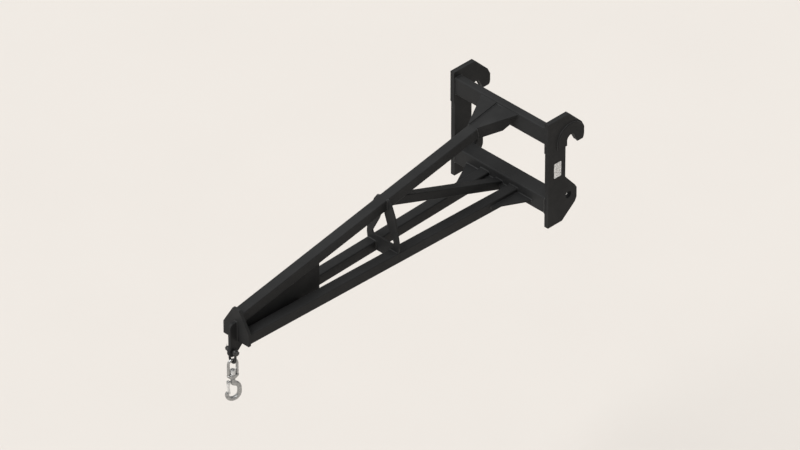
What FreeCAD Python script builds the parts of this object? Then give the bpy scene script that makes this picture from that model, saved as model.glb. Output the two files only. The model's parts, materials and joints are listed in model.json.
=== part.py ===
import FreeCAD, Part
import math
import os

# Lattice lifting jib for a loader's quick coupler, with a swivel hook at its nose.
# Millimetres. +X runs forward along the boom, +Y is the left side, +Z is up.
# The origin is the axis of the coupler's top bar, midway between the two hooks.

Vec = FreeCAD.Vector

# ---- quick-coupler side plates -------------------------------------------------
COUPLER_WIDTH = 840.0          # outer face to outer face
SIDE_PLATE = 32.0
SIDE_OUT = COUPLER_WIDTH / 2
SIDE_IN = SIDE_OUT - SIDE_PLATE

BAR_R = 35.0                   # throat of the hooks, on the coupler's top bar
HEAD_FRONT = 195.0
HEAD_TOP = 189.0
HEAD_BACK = -123.0
HEAD_FOOT = -34.0              # weld line between the hook head and the ear plate
TIP_FOOT = -43.0
DOUBLER = 8.0
DOUBLER_R = 114.0

EAR_FRONT = 188.0
EAR_BACK = 40.0
EAR_BOTTOM = -585.0
LOCK_PIN_X = 10.0
LOCK_PIN_Z = -417.0
LOCK_PIN_R = 25.0

# ---- hollow sections -----------------------------------------------------------
CROSS_SECTION = 120.0
UPPER_CROSS_HEIGHT = 125.0
CROSS_WALL = 8.0
UPPER_CROSS_DEPTH = 60.0
UPPER_CROSS_FRONT = 187.0
UPPER_CROSS_TOP = 146.5
LOWER_CROSS_FRONT = 189.0
LOWER_CROSS_TOP = -368.0
CHORD = 75.0
CHORD_WALL = 5.0
BRACE = 60.0
BRACE_WALL = 4.0
CORNER_FACTOR = 1.5            # outer corner radius over wall thickness

CHORD_PITCH = 10.37            # degrees, fall of the upper chord towards the nose
CHORD_ROOT_TOP = 130.0         # top of the upper chord where it leaves the cross tube
LOWER_CHORD_BOTTOM = -482.0
LOWER_CHORD_ROOT_Y = 125.0
LOWER_CHORD_NOSE_Y = 61.0
BRACE_PITCH = 20.3             # degrees, rise of the diagonal towards the nose

# ---- nose ----------------------------------------------------------------------
NOSE_FRONT = 2449.0
NOSE_PLATE = 20.0
NOSE_BACK = NOSE_FRONT - NOSE_PLATE
WEB_START = 1750.0
TIE_START = 1900.0
WEB = 12.0
LUG = 20.0
LUG_FRONT = 2505.0
LUG_EYE_R = 36.0
LUG_TOP = -345.0
NOSE_TIE = 10.0
BOLT_X = 2480.0
BOLT_Z = -549.0
BOLT_R = 10.0
BOLT_HOLE_R = 10.05

# ---- stiffeners ----------------------------------------------------------------
GUSSET = 10.0
LOWER_GUSSET = 12.0
LOWER_GUSSET_TOP = -434.0
DIAPHRAGM = 12.0
DIAPHRAGM_X = 1196.0

# ---- rating plate --------------------------------------------------------------
DATA_PLATE_X = (78.0, 140.0)
DATA_PLATE_Z = (-235.0, -128.0)
DATA_PLATE = 1.5
RIVET_R = 3.0
RIVET_INSET = 6.0

# ---- shackle and swivel hook ---------------------------------------------------
SHACKLE_ROD_R = 8.0
SHACKLE_HALF_GAUGE = 24.0      # rod axis to centre plane
SHACKLE_EYE_R = 20.0
HEX_FLATS = 30.0
HEAD_HEIGHT = 12.5
BOLT_NUT = 16.0
BOLT_END = -55.0
SPLIT_PIN_R = 2.0
BOW_AXIS_Z = BOLT_Z - 83.0
RING_ROD_R = 9.0
RING_GAUGE = 29.0              # rod axis to centre line
RING_TOP_AXIS_Z = BOW_AXIS_Z + SHACKLE_ROD_R + RING_ROD_R + 0.3
RING_BASE_TOP = -720.0
RING_BASE_BOTTOM = -750.0
HOOK_TURN = -20.0              # degrees about the load line, seen from above
SHANK_R = 10.0
SHANK_HOLE_R = 10.05
SHANK_TOP = -684.0
THRUST_WASHER = 2.8
NUT_R = 18.0
NUT_HEIGHT = 30.0
NUT_PIN_R = 3.0
COLLAR_R = 16.0
SWIVEL_GAP = 0.3               # between faces that turn on each other
BOWL_Z = -860.0
BOWL_R = 29.0
HOOK_R = 57.0
HOOK_HALF = 13.0
BOSS_HALF = 6.0
BOSS_R = 10.0
LATCH_PIN_X = 27.0             # from the load line and from the bowl's centre
LATCH_PIN_Z = 84.0
LATCH_PIN_R = 4.0
LATCH_HOLE_R = 4.05
LATCH_HALF = 13.0
LATCH_SHEET = 2.5
PIN_HEAD = 2.0
SPRING_IN_R = 4.6
SPRING_OUT_R = 7.4


# ---- small geometry helpers ----------------------------------------------------
def polygon(points):
    """A closed wire through points."""
    return Part.makePolygon(points + [points[0]])


def prism(points, along):
    """A solid prism: a closed outline pushed along a vector."""
    return Part.Face(polygon(points)).extrude(along)


def side_prism(outline, y0, y1):
    """An outline of (x, z) pairs, solid from y0 to y1."""
    points = [Vec(x, y0, z) for x, z in outline]
    return prism(points, Vec(0, y1 - y0, 0))


def flat_prism(outline, z0, z1):
    """An outline of (x, y) pairs, solid from z0 to z1."""
    points = [Vec(x, y, z0) for x, y in outline]
    return prism(points, Vec(0, 0, z1 - z0))


def cross_prism(outline, x0, x1):
    """An outline of (y, z) pairs, solid from x0 to x1."""
    points = [Vec(x0, y, z) for y, z in outline]
    return prism(points, Vec(x1 - x0, 0, 0))


def disc(radius, y0, y1, x, z):
    """A cylinder along Y."""
    return Part.makeCylinder(radius, y1 - y0, Vec(x, y0, z), Vec(0, 1, 0))


def mirrored(shape):
    """The same piece on the other side of the centre plane."""
    return shape.mirror(Vec(0, 0, 0), Vec(0, 1, 0))


def bar(width, height, length, radius):
    """A solid bar along +X with rounded long edges, centred on the X axis."""
    box = Part.makeBox(length, width, height, Vec(0, -width / 2, -height / 2))
    long_edges = [e for e in box.Edges if abs(e.Vertexes[0].X - e.Vertexes[1].X) > length / 2]
    return box.makeFillet(radius, long_edges)


def tube(width, height, length, wall):
    """A hollow section along +X, and the solid bar that fills its outside."""
    outer = bar(width, height, length, CORNER_FACTOR * wall)
    inner = bar(width - 2 * wall, height - 2 * wall, length, (CORNER_FACTOR - 1) * wall)
    return outer.cut(inner), outer


def slab(x0, x1):
    """All the space between two planes across the boom."""
    return Part.makeBox(x1 - x0, 2000, 3000, Vec(x0, -1000, -2000))


# ---- places on the boom --------------------------------------------------------
def lower_chord_y(x):
    """Distance of a lower chord's centre line from the centre plane at x."""
    share = (x - LOWER_CROSS_FRONT) / (NOSE_BACK - LOWER_CROSS_FRONT)
    return LOWER_CHORD_ROOT_Y + share * (LOWER_CHORD_NOSE_Y - LOWER_CHORD_ROOT_Y)


# ---- side assemblies of the coupler --------------------------------------------
def hook_head_outline():
    """The hook head seen from the side, with its throat left open at the foot."""
    tip_x, tip_z = -61.0, TIP_FOOT
    reach = math.hypot(tip_x, tip_z)
    turn = math.atan2(tip_z, tip_x) + 2 * math.pi - math.acos(BAR_R / reach)
    touch = Vec(BAR_R * math.cos(turn), 0, BAR_R * math.sin(turn))
    crown = Vec(BAR_R * math.cos(turn / 2), 0, BAR_R * math.sin(turn / 2))
    throat = Part.Arc(touch, crown, Vec(BAR_R, 0, 0)).toShape()
    points = [
        Vec(BAR_R, 0, 0), Vec(BAR_R, 0, HEAD_FOOT), Vec(HEAD_FRONT, 0, HEAD_FOOT),
        Vec(HEAD_FRONT, 0, HEAD_TOP), Vec(9, 0, HEAD_TOP), Vec(-100, 0, 80),
        Vec(HEAD_BACK, 0, 34), Vec(HEAD_BACK, 0, -20), Vec(-116, 0, TIP_FOOT),
        Vec(tip_x, 0, tip_z), touch,
    ]
    edges = [Part.makeLine(a, b) for a, b in zip(points, points[1:])]
    return Part.Wire(edges + [throat])


def hook_head():
    """Left hook head: hangs the jib on the coupler's top bar."""
    plate = Part.Face(hook_head_outline()).extrude(Vec(0, SIDE_PLATE, 0))
    plate.translate(Vec(0, SIDE_IN, 0))
    corners = [e for e in plate.Edges if is_back_corner(e)]
    return plate.makeFillet(14, corners)


def is_back_corner(edge):
    """True for the through-edges at the rounded back of the hook head."""
    a, b = edge.Vertexes[0], edge.Vertexes[-1]
    along_y = abs(a.Y - b.Y) > SIDE_PLATE / 2
    return along_y and a.X < -95


def hook_doubler():
    """Left doubler: a ring round the throat, on the outer face of the hook head."""
    ring = disc(DOUBLER_R, SIDE_OUT, SIDE_OUT + DOUBLER, 0, 0)
    blank = Part.Face(hook_head_outline()).extrude(Vec(0, DOUBLER, 0))
    blank.translate(Vec(0, SIDE_OUT, 0))
    return ring.common(blank)


def ear_plate():
    """Left ear plate: carries both cross tubes and the lock-pin hole."""
    outline = [
        (EAR_FRONT, HEAD_FOOT), (EAR_BACK, HEAD_FOOT), (EAR_BACK, -265), (-46, -366),
        (-63, -393), (-63, -465), (-50, -492), (64, EAR_BOTTOM), (EAR_FRONT, EAR_BOTTOM),
    ]
    plate = side_prism(outline, SIDE_IN, SIDE_OUT)
    return plate.cut(disc(LOCK_PIN_R, SIDE_IN, SIDE_OUT, LOCK_PIN_X, LOCK_PIN_Z))


# ---- cross tubes ---------------------------------------------------------------
def cross_tube(depth, height, front, top):
    """A hollow section from side plate to side plate."""
    section, _ = tube(depth, height, 2 * SIDE_IN, CROSS_WALL)
    section.rotate(Vec(0, 0, 0), Vec(0, 0, 1), 90)
    section.translate(Vec(front - depth / 2, -SIDE_IN, top - height / 2))
    return section


# ---- chords and brace ----------------------------------------------------------
def upper_chord():
    """The falling upper chord, and the bar that fills its outside."""
    shapes = []
    for shape in tube(CHORD, CHORD, 2700, CHORD_WALL):
        shape.translate(Vec(-200, 0, -CHORD / 2))
        shape.rotate(Vec(0, 0, 0), Vec(0, 1, 0), CHORD_PITCH)
        shape.translate(Vec(UPPER_CROSS_FRONT, 0, CHORD_ROOT_TOP))
        shapes.append(shape.common(slab(UPPER_CROSS_FRONT, NOSE_BACK)))
    return shapes


def lower_chord():
    """The left lower chord, and the bar that fills its outside."""
    run = NOSE_BACK - LOWER_CROSS_FRONT
    yaw = math.degrees(math.atan2(LOWER_CHORD_NOSE_Y - LOWER_CHORD_ROOT_Y, run))
    shapes = []
    for shape in tube(CHORD, CHORD, 2500, CHORD_WALL):
        shape.translate(Vec(-100, 0, 0))
        shape.rotate(Vec(0, 0, 0), Vec(0, 0, 1), yaw)
        centre_z = LOWER_CHORD_BOTTOM + CHORD / 2
        shape.translate(Vec(LOWER_CROSS_FRONT, LOWER_CHORD_ROOT_Y, centre_z))
        shapes.append(shape.common(slab(LOWER_CROSS_FRONT, NOSE_BACK)))
    return shapes


def diagonal_brace():
    """The diagonal from the lower cross tube up to the upper chord, and its filled outside."""
    shapes = []
    for shape in tube(BRACE, BRACE, 1400, BRACE_WALL):
        shape.translate(Vec(-100, 0, BRACE / 2))
        shape.rotate(Vec(0, 0, 0), Vec(0, 1, 0), -BRACE_PITCH)
        shape.translate(Vec(LOWER_CROSS_FRONT, 0, LOWER_CHORD_BOTTOM))
        shape = shape.common(slab(LOWER_CROSS_FRONT, DIAPHRAGM_X - DIAPHRAGM / 2))
        pieces = shape.cut(above_chord_foot()).Solids
        shapes.append(min(pieces, key=lambda s: s.CenterOfMass.x))
    return shapes


def above_chord_foot():
    """All the space above the upper chord's underside."""
    block = Part.makeBox(3000, 2000, 2000, Vec(-300, -1000, -CHORD))
    block.rotate(Vec(0, 0, 0), Vec(0, 1, 0), CHORD_PITCH)
    block.translate(Vec(UPPER_CROSS_FRONT, 0, CHORD_ROOT_TOP))
    return block


# ---- stiffeners ----------------------------------------------------------------
def upper_gusset(chord_bar):
    """Left folded gusset: a wing on the upper chord with a flange turned down."""
    root_y, reach = 158.0, 240.0
    wing_in = CHORD / 2 - CORNER_FACTOR * CHORD_WALL - 1
    flange_start, flange_drop = 52.0, 76.0
    slope = (root_y - CHORD / 2) / reach
    normal = Vec(slope, 1, 0)
    normal.normalize()
    wing = flat_prism([(0, wing_in), (reach, wing_in), (reach, CHORD / 2), (0, root_y)], 0, GUSSET)
    start = Vec(flange_start, root_y - slope * flange_start, 0)
    end = Vec(reach, CHORD / 2, 0)
    foot = [start, end, end - normal * GUSSET, start - normal * GUSSET]
    flange = prism(foot, Vec(0, 0, -flange_drop))
    low_corner = start + Vec(0, 0, -flange_drop) + normal
    along = (end - start).normalize()
    clipped = [low_corner - along, low_corner + along * 52, low_corner + Vec(0, 0, 31) - along]
    flange = flange.cut(prism(clipped, normal * (-GUSSET - 2)))
    gusset = wing.fuse(flange).removeSplitter()
    gusset.rotate(Vec(0, 0, 0), Vec(0, 1, 0), CHORD_PITCH)
    gusset.translate(Vec(UPPER_CROSS_FRONT, 0, CHORD_ROOT_TOP))
    return gusset.common(slab(UPPER_CROSS_FRONT, NOSE_BACK)).cut(chord_bar)


def lower_gusset(chord_bar):
    """Left outer gusset: a flat wing between the lower cross tube and the chord."""
    outline = [(LOWER_CROSS_FRONT, 110), (425, 110), (425, 157), (LOWER_CROSS_FRONT, 281)]
    wing = flat_prism(outline, LOWER_GUSSET_TOP - LOWER_GUSSET, LOWER_GUSSET_TOP)
    return wing.cut(chord_bar)


def inner_gusset(chord_bar, brace_bar):
    """Left inner gusset: a small flat web between the brace and the chord."""
    outline = [(LOWER_CROSS_FRONT, 0), (LOWER_CROSS_FRONT, 110), (290, 110)]
    web = flat_prism(outline, LOWER_GUSSET_TOP - LOWER_GUSSET, LOWER_GUSSET_TOP)
    return web.cut(chord_bar).cut(brace_bar)


def mid_diaphragm(bars):
    """The frame plate across the boom, cut out round the three chords."""
    half = [
        (0, -57), (51, -57), (76, -95), (104, -166), (135, -328), (139, -368),
        (133, -408), (97, -408), (97, -472), (0, -472),
    ]
    outline = half + [(-y, z) for y, z in reversed(half[1:-1])]
    plate = cross_prism(outline, DIAPHRAGM_X - DIAPHRAGM / 2, DIAPHRAGM_X + DIAPHRAGM / 2)
    window = [(12, -160), (37, -232), (93, -342), (88, -358), (75, -363)]
    window = window + [(-y, z) for y, z in reversed(window)]
    plate = plate.cut(cross_prism(window, DIAPHRAGM_X - DIAPHRAGM, DIAPHRAGM_X + DIAPHRAGM))
    for chord_bar in bars:
        plate = plate.cut(chord_bar)
    return max(plate.Solids, key=lambda s: s.Volume)


# ---- nose ----------------------------------------------------------------------
def nose_plate():
    """The plate that closes the boom, slotted for the hanger lug."""
    foot = LOWER_CHORD_BOTTOM
    outline = [(-27, -255), (27, -255), (109, -392), (109, foot), (-109, foot), (-109, -392)]
    return cross_prism(outline, NOSE_BACK, NOSE_FRONT)


def nose_web():
    """The centre web between the chords behind the nose."""
    foot = LOWER_CHORD_BOTTOM + NOSE_TIE
    outline = [(WEB_START, foot), (NOSE_BACK, foot), (NOSE_BACK, 0), (WEB_START, 0)]
    plate = side_prism(outline, -WEB / 2, WEB / 2).cut(above_chord_foot())
    return max(plate.Solids, key=lambda s: s.Volume)


def nose_tie_plate():
    """The flat plate that ties the two lower chords together under the web."""
    z0, z1 = LOWER_CHORD_BOTTOM, LOWER_CHORD_BOTTOM + NOSE_TIE
    back = lower_chord_y(TIE_START)
    front = LOWER_CHORD_NOSE_Y
    outline = [(TIE_START, -back), (NOSE_BACK, -front), (NOSE_BACK, front), (TIE_START, back)]
    return flat_prism(outline, z0, z1)


def hanger_lug():
    """The lug under the nose, with the eye for the shackle bolt."""
    eye = disc(LUG_EYE_R, -LUG / 2, LUG / 2, BOLT_X, BOLT_Z)
    outline = [
        (NOSE_FRONT, LUG_TOP), (LUG_FRONT - 18, LUG_TOP), (LUG_FRONT, LUG_TOP - 18),
        (LUG_FRONT, BOLT_Z), (BOLT_X, BOLT_Z - 30), (2448, -566),
        (2362, LOWER_CHORD_BOTTOM), (NOSE_FRONT, LOWER_CHORD_BOTTOM),
    ]
    body = side_prism(outline, -LUG / 2, LUG / 2).fuse(eye).removeSplitter()
    return body.cut(disc(BOLT_HOLE_R, -LUG, LUG, BOLT_X, BOLT_Z))


# ---- rating plate --------------------------------------------------------------
def data_plate():
    """A blank plate on the left ear plate."""
    width = DATA_PLATE_X[1] - DATA_PLATE_X[0]
    height = DATA_PLATE_Z[1] - DATA_PLATE_Z[0]
    return Part.makeBox(width, DATA_PLATE, height, Vec(DATA_PLATE_X[0], SIDE_OUT, DATA_PLATE_Z[0]))


def data_plate_rivets():
    """Four rivet heads at the corners of the plate."""
    heads = []
    face = SIDE_OUT + DATA_PLATE
    for x in (DATA_PLATE_X[0] + RIVET_INSET, DATA_PLATE_X[1] - RIVET_INSET):
        for z in (DATA_PLATE_Z[0] + RIVET_INSET, DATA_PLATE_Z[1] - RIVET_INSET):
            head = disc(RIVET_R, face, face + 1.6, x, z)
            rim = [e for e in head.Edges if abs(e.CenterOfMass.y - face - 1.6) < 0.01]
            heads.append(head.makeChamfer(0.8, rim))
    return Part.makeCompound(heads)


# ---- shackle -------------------------------------------------------------------
def rod(path, radius):
    """A round rod along a path of tangent lines and arcs."""
    start = path.Edges[0].valueAt(path.Edges[0].FirstParameter)
    direction = path.Edges[0].tangentAt(path.Edges[0].FirstParameter)
    section = Part.Wire(Part.makeCircle(radius, start, direction))
    return path.makePipeShell([section], True, False)


def u_path(half_gauge, crown_z, centre_z, end_z, place):
    """A U of two straight legs and a half circle; place turns (side, z) into a point."""
    left = place(half_gauge, centre_z)
    right = place(-half_gauge, centre_z)
    arc = Part.Arc(left, place(0, crown_z), right).toShape()
    first = Part.makeLine(place(half_gauge, end_z), left)
    last = Part.makeLine(right, place(-half_gauge, end_z))
    return Part.Wire([first, arc, last])


def shackle():
    """The bow with its two eyes, hanging from the bolt."""
    def place(side, z):
        return Vec(BOLT_X, side, z)
    centre_z = BOW_AXIS_Z + SHACKLE_HALF_GAUGE
    path = u_path(SHACKLE_HALF_GAUGE, BOW_AXIS_Z, centre_z, BOLT_Z - 14, place)
    body = rod(path, SHACKLE_ROD_R)
    inner = SHACKLE_HALF_GAUGE - SHACKLE_ROD_R
    outer = SHACKLE_HALF_GAUGE + SHACKLE_ROD_R
    for y0, y1 in ((inner, outer), (-outer, -inner)):
        body = body.fuse(disc(SHACKLE_EYE_R, y0, y1, BOLT_X, BOLT_Z))
    return body.cut(disc(BOLT_HOLE_R, -outer - 1, outer + 1, BOLT_X, BOLT_Z))


def hexagon(y0, y1, flats):
    """A hexagonal prism on the bolt axis, with its far rim turned to a bevel."""
    corner = flats / math.sqrt(3)
    outline = []
    for step in range(6):
        angle = math.radians(60 * step)
        outline.append((BOLT_X + corner * math.cos(angle), BOLT_Z + corner * math.sin(angle)))
    cone_r = 0.97 * corner
    rise = abs(y1 - y0)
    toward = Vec(0, math.copysign(1, y1 - y0), 0)
    cone = Part.makeCone(cone_r + rise / 2, cone_r - rise * 0.05, rise, Vec(BOLT_X, y0, BOLT_Z), toward)
    return side_prism(outline, min(y0, y1), max(y0, y1)).common(cone)


def hanger_bolt():
    """The shackle's bolt: hexagon head on the left, drilled for a split pin on the right."""
    face = SHACKLE_HALF_GAUGE + SHACKLE_ROD_R
    shaft = disc(BOLT_R, BOLT_END, face, BOLT_X, BOLT_Z)
    end_rim = [e for e in shaft.Edges if abs(e.CenterOfMass.y - BOLT_END) < 0.01]
    shaft = shaft.makeChamfer(1.5, end_rim)
    bolt = shaft.fuse(hexagon(face, face + HEAD_HEIGHT, HEX_FLATS))
    hole_y = BOLT_END + 3.6
    hole = Part.makeCylinder(SPLIT_PIN_R, 4 * BOLT_R, Vec(BOLT_X, hole_y, BOLT_Z - 2 * BOLT_R))
    return bolt.cut(hole)


def hanger_nut():
    """The nut on the bolt's right end."""
    face = -SHACKLE_HALF_GAUGE - SHACKLE_ROD_R
    nut = hexagon(face, face - BOLT_NUT, HEX_FLATS)
    return nut.cut(disc(BOLT_R, face - BOLT_NUT - 1, face + 1, BOLT_X, BOLT_Z))


def split_pin():
    """The pin through the bolt's end, with a ring head on top."""
    y = BOLT_END + 3.6
    shank = Part.makeCylinder(SPLIT_PIN_R, 34, Vec(BOLT_X, y, BOLT_Z - 18))
    loop = Part.makeTorus(4.2, 0.85 * SPLIT_PIN_R, Vec(BOLT_X, y, BOLT_Z + 20), Vec(0, 1, 0))
    return shank.fuse(loop)


# ---- swivel eye ----------------------------------------------------------------
def turned(shape):
    """Turn a piece of the hook about the load line, which runs down through the bolt."""
    shape.rotate(Vec(BOLT_X, 0, 0), Vec(0, 0, 1), HOOK_TURN)
    return shape


def swivel_eye():
    """The long ring that hangs in the bow, with the bored base for the hook's shank."""
    def place(side, z):
        return Vec(BOLT_X + side, 0, z)
    centre_z = RING_TOP_AXIS_Z - RING_GAUGE
    path = u_path(RING_GAUGE, RING_TOP_AXIS_Z, centre_z, RING_BASE_TOP - 8, place)
    ring = rod(path, RING_ROD_R)
    half = RING_GAUGE + RING_ROD_R + 2
    outline = [
        (-half, RING_BASE_TOP), (half, RING_BASE_TOP), (half, RING_BASE_TOP - 12),
        (20, RING_BASE_BOTTOM), (-20, RING_BASE_BOTTOM), (-half, RING_BASE_TOP - 12),
    ]
    base = side_prism([(BOLT_X + x, z) for x, z in outline], -17, 17)
    plan = [
        (-half, -9), (-half + 8, -17), (half - 8, -17), (half, -9),
        (half, 9), (half - 8, 17), (-half + 8, 17), (-half, 9),
    ]
    upright = [(BOLT_X + x, y) for x, y in plan]
    base = base.common(flat_prism(upright, RING_BASE_BOTTOM - 5, RING_BASE_TOP + 5))
    body = ring.fuse(base)
    bore = Part.makeCylinder(SHANK_HOLE_R, 60, Vec(BOLT_X, 0, RING_BASE_BOTTOM - 15))
    return turned(body.cut(bore))


# ---- hook ----------------------------------------------------------------------
def hook_point(across, up):
    """A point of the hook's own plane, measured from the bowl's centre."""
    return Vec(BOLT_X + across, 0, BOWL_Z + up)


def arc(start, middle, end):
    """An arc through three points of the hook's plane."""
    return Part.Arc(hook_point(*start), hook_point(*middle), hook_point(*end)).toShape()


def line(start, end):
    """A straight edge between two points of the hook's plane."""
    return Part.makeLine(hook_point(*start), hook_point(*end))


def hook_outline():
    """The forged hook seen flat on, its tip towards +X."""
    low = math.sqrt(0.5)
    return Part.Wire([
        line((14, 104), (-14, 104)),
        arc((-14, 104), (-19.5, 90), (-34, 80)),
        arc((-34, 80), (-51, 62), (-HOOK_R, 38)),
        line((-HOOK_R, 38), (-HOOK_R, 0)),
        arc((-HOOK_R, 0), (-HOOK_R * low, -HOOK_R * low), (0, -HOOK_R)),
        arc((0, -HOOK_R), (38, -42), (53, -8)),
        arc((53, -8), (51, 9), (42, 17)),
        arc((42, 17), (35.5, 15.5), (31, 10)),
        line((31, 10), (BOWL_R, 0)),
        arc((BOWL_R, 0), (0, -BOWL_R), (-BOWL_R, 0)),
        line((-BOWL_R, 0), (-BOWL_R, 28)),
        arc((-BOWL_R, 28), (-20.5, 48.5), (0, 57)),
        arc((0, 57), (9, 62), (14, 72)),
        line((14, 72), (14, 104)),
    ])


def hook():
    """The hook with its shank and the boss for the latch."""
    body = Part.Face(hook_outline()).extrude(Vec(0, 2 * HOOK_HALF, 0))
    body.translate(Vec(0, -HOOK_HALF, 0))
    collar_z = RING_BASE_BOTTOM - SWIVEL_GAP
    collar_height = collar_z - BOWL_Z - 96
    collar = Part.makeCylinder(COLLAR_R, collar_height, hook_point(0, 96))
    foot_and_top = [e for e in collar.Edges if e.Closed]
    collar = collar.makeChamfer(2, foot_and_top)
    shank = Part.makeCylinder(SHANK_R, SHANK_TOP - BOWL_Z - 96, hook_point(0, 96))
    pin = hook_point(LATCH_PIN_X, LATCH_PIN_Z)
    boss = disc(BOSS_R, -BOSS_HALF, BOSS_HALF, pin.x, pin.z)
    arm = side_prism(
        [
            (pin.x, pin.z + BOSS_R), (BOLT_X, pin.z + BOSS_R),
            (BOLT_X, pin.z - BOSS_R), (pin.x, pin.z - BOSS_R),
        ],
        -BOSS_HALF, BOSS_HALF)
    body = body.fuse([collar, shank, boss, arm])
    body = body.cut(disc(LATCH_PIN_R, -HOOK_HALF, HOOK_HALF, pin.x, pin.z))
    return turned(body.cut(nut_pin_solid()))


def nut_pin_solid():
    """The cross pin through the shank nut, before it is turned with the hook."""
    z = nut_foot() + NUT_HEIGHT / 2
    return Part.makeCylinder(NUT_PIN_R, 2 * NUT_R + 2, Vec(BOLT_X, -NUT_R - 1, z), Vec(0, 1, 0))


def nut_foot():
    """Height of the shank nut's underside."""
    return RING_BASE_TOP + SWIVEL_GAP + THRUST_WASHER


def washer(radius, hole, z, height):
    """A flat ring round the load line."""
    ring = Part.makeCylinder(radius, height, Vec(BOLT_X, 0, z))
    return ring.cut(Part.makeCylinder(hole, height, Vec(BOLT_X, 0, z)))


def thrust_washer():
    """The washer that the shank nut turns on."""
    return washer(NUT_R - 0.5, SHANK_R, RING_BASE_TOP + SWIVEL_GAP, THRUST_WASHER)


def shank_nut():
    """The round nut on the shank, inside the ring."""
    nut = washer(NUT_R, SHANK_R, nut_foot(), NUT_HEIGHT)
    outer = [e for e in nut.Edges if e.Closed and e.Length > 2 * math.pi * (NUT_R - 1)]
    nut = nut.makeChamfer(2, outer)
    return turned(nut.cut(nut_pin_solid()))


# ---- latch ---------------------------------------------------------------------
def latch_solid(outline, y0, y1):
    """A piece of the latch from points measured from the bowl's centre."""
    return side_prism([(BOLT_X + across, BOWL_Z + up) for across, up in outline], y0, y1)


def latch():
    """The folded sheet that closes the mouth: two cheeks and an outer web."""
    cheek = [
        (19, 78), (20, 92), (34, 93), (39, 86), (37, 46), (29.2, 10), (28.5, 2),
        (22, 2), (21, 20), (25, 48), (25.5, 64), (21, 73),
    ]
    outer_edge = [(38.2, 70), (37, 46), (29.2, 10), (28.5, 2)]
    inner_edge = [(x - LATCH_SHEET, z) for x, z in reversed(outer_edge)]
    body = latch_solid(outer_edge + inner_edge, -LATCH_HALF, LATCH_HALF)
    for y0, y1 in ((-LATCH_HALF, LATCH_SHEET - LATCH_HALF), (LATCH_HALF - LATCH_SHEET, LATCH_HALF)):
        body = body.fuse(latch_solid(cheek, y0, y1))
    pin = hook_point(LATCH_PIN_X, LATCH_PIN_Z)
    hole = disc(LATCH_HOLE_R, -LATCH_HALF - 1, LATCH_HALF + 1, pin.x, pin.z)
    return turned(body.removeSplitter().cut(hole))


def latch_pin():
    """The headed pin that the latch turns on."""
    x, z = BOLT_X + LATCH_PIN_X, BOWL_Z + LATCH_PIN_Z
    reach = LATCH_HALF + SWIVEL_GAP
    pin = disc(LATCH_PIN_R, -reach, reach, x, z)
    for y0, y1 in ((reach, reach + PIN_HEAD), (-reach - PIN_HEAD, -reach)):
        pin = pin.fuse(disc(1.6 * LATCH_PIN_R, y0, y1, x, z))
    return turned(pin)


def latch_spring():
    """The closed envelope of the latch's two coils, one each side of the boss."""
    x, z = BOLT_X + LATCH_PIN_X, BOWL_Z + LATCH_PIN_Z
    near = BOSS_HALF + SWIVEL_GAP
    far = LATCH_HALF - LATCH_SHEET - SWIVEL_GAP
    coils = []
    for y0, y1 in ((near, far), (-far, -near)):
        coil = disc(SPRING_OUT_R, y0, y1, x, z).cut(disc(SPRING_IN_R, y0, y1, x, z))
        coils.append(coil)
    return turned(Part.makeCompound(coils))


# ---- write ---------------------------------------------------------------------
def save(name, shape):
    """Write one node's solids to its STEP file."""
    shape.exportStep("parts/" + name + ".step")
    print(name, len(shape.Solids), round(shape.Volume / 1000), "cm3", shape.isValid())


def both_sides(name, shape):
    """Write a left piece and its mirror image on the right."""
    save(name + "_left", shape)
    save(name + "_right", mirrored(shape))


os.makedirs("parts", exist_ok=True)

both_sides("hook_head", hook_head())
both_sides("hook_doubler", hook_doubler())
both_sides("ear_plate", ear_plate())
save(
    "upper_cross_tube",
    cross_tube(UPPER_CROSS_DEPTH, UPPER_CROSS_HEIGHT, UPPER_CROSS_FRONT, UPPER_CROSS_TOP),
)
save("lower_cross_tube", cross_tube(CROSS_SECTION, CROSS_SECTION, LOWER_CROSS_FRONT, LOWER_CROSS_TOP))

upper_tube, upper_bar = upper_chord()
lower_tube, lower_bar = lower_chord()
brace_tube, brace_bar = diagonal_brace()
save("upper_chord", upper_tube)
both_sides("lower_chord", lower_tube)
save("diagonal_brace", brace_tube)
both_sides("upper_gusset", upper_gusset(upper_bar))
both_sides("lower_gusset", lower_gusset(lower_bar))
both_sides("inner_gusset", inner_gusset(lower_bar, brace_bar))
save("mid_diaphragm", mid_diaphragm([upper_bar, lower_bar, mirrored(lower_bar)]))
save("nose_plate", nose_plate())
save("nose_web", nose_web())
save("nose_tie_plate", nose_tie_plate().cut(lower_bar).cut(mirrored(lower_bar)))
save("hanger_lug", hanger_lug())
save("data_plate", data_plate())
save("data_plate_rivets", data_plate_rivets())

save("shackle", shackle())
save("hanger_bolt", hanger_bolt())
save("hanger_nut", hanger_nut())
save("split_pin", split_pin())

save("swivel_eye", swivel_eye())
save("hook", hook())
save("thrust_washer", thrust_washer())
save("shank_nut", shank_nut())
save("nut_pin", turned(nut_pin_solid()))
save("latch", latch())
save("latch_pin", latch_pin())
save("latch_spring", latch_spring())
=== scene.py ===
import json
import math
import random

import bmesh
import bpy
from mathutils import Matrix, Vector
from mathutils.bvhtree import BVHTree


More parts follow.
